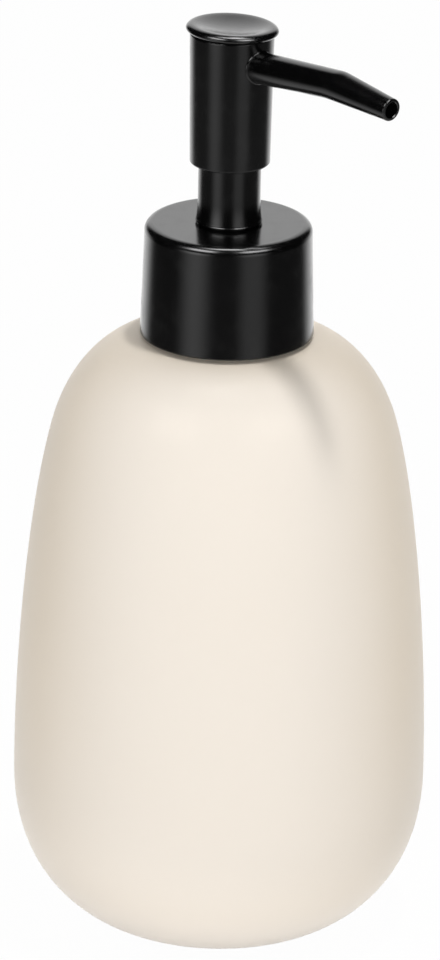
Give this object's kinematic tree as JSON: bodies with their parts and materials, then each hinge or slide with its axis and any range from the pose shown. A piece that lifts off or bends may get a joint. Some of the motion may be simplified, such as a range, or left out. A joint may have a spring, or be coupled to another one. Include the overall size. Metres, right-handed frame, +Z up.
{
  "type": "soap pump dispenser",
  "caption": "Rounded stoneware soap bottle with a screw-on black lotion pump: sliding swivel head, bent spout, spring, piston, ball valve and dip tube.",
  "frame": {"origin": "centre of the bottle's flat base", "axes": "+Z up along the bottle's axis; +X is the way the spout points at rest"},
  "size_m": [0.0856, 0.0818, 0.1858],
  "materials": {
    "stoneware": "matte cream glaze",
    "black_plastic": "satin black",
    "natural_plastic": "natural, unpigmented",
    "seal_plastic": "soft, satin",
    "spring_steel": "drawn wire"
  },
  "bodies": {
    "bottle_body": {"bottle": "stoneware", "neck_ring": "natural_plastic"},
    "pump_body": {"pump_housing": "natural_plastic", "neck_gasket": "seal_plastic", "guide_sleeve": "black_plastic", "ball_cage": "natural_plastic", "dip_tube": "natural_plastic", "return_spring": "spring_steel"},
    "screw_collar": {"closure": "natural_plastic", "collar_shell": "black_plastic"},
    "plunger": {"stem_core": "natural_plastic"},
    "piston_body": {"piston": "seal_plastic"},
    "valve_ball": {"inlet_ball": "spring_steel"},
    "pump_head": {"stem": "black_plastic", "head_hub": "natural_plastic", "head_tube": "black_plastic", "thumb_disc": "black_plastic", "spout": "black_plastic"}
  },
  "joints": [
    {"name": "pump_rise", "type": "slide", "parent": "bottle_body", "child": "pump_body", "axis": [0, 0, 1], "range_m": [0, 0.0053]},
    {"name": "collar_turn", "type": "hinge", "parent": "pump_body", "child": "screw_collar", "pos_m": [0, 0, 0.13], "axis": [0, 0, 1], "range_deg": [0, 450]},
    {"name": "head_press", "type": "slide", "parent": "pump_body", "child": "plunger", "axis": [0, 0, -1], "range_m": [0, 0.011], "stiffness_N_per_m": 700, "springref_m": -0.008, "deforming": ["return_spring"]},
    {"name": "head_swivel", "type": "hinge", "parent": "plunger", "child": "pump_head", "pos_m": [0, 0, 0.17], "axis": [0, 0, 1], "continuous": true},
    {"name": "piston_lag", "type": "slide", "parent": "plunger", "child": "piston_body", "axis": [0, 0, 1], "range_m": [0, 0.001]},
    {"name": "ball_lift", "type": "slide", "parent": "pump_body", "child": "valve_ball", "axis": [0, 0, 1], "range_m": [0, 0.0015]}
  ],
  "couplings": [
    {"joint": "pump_rise", "follows": "collar_turn", "m_per_rad": 0.00067323}
  ]
}
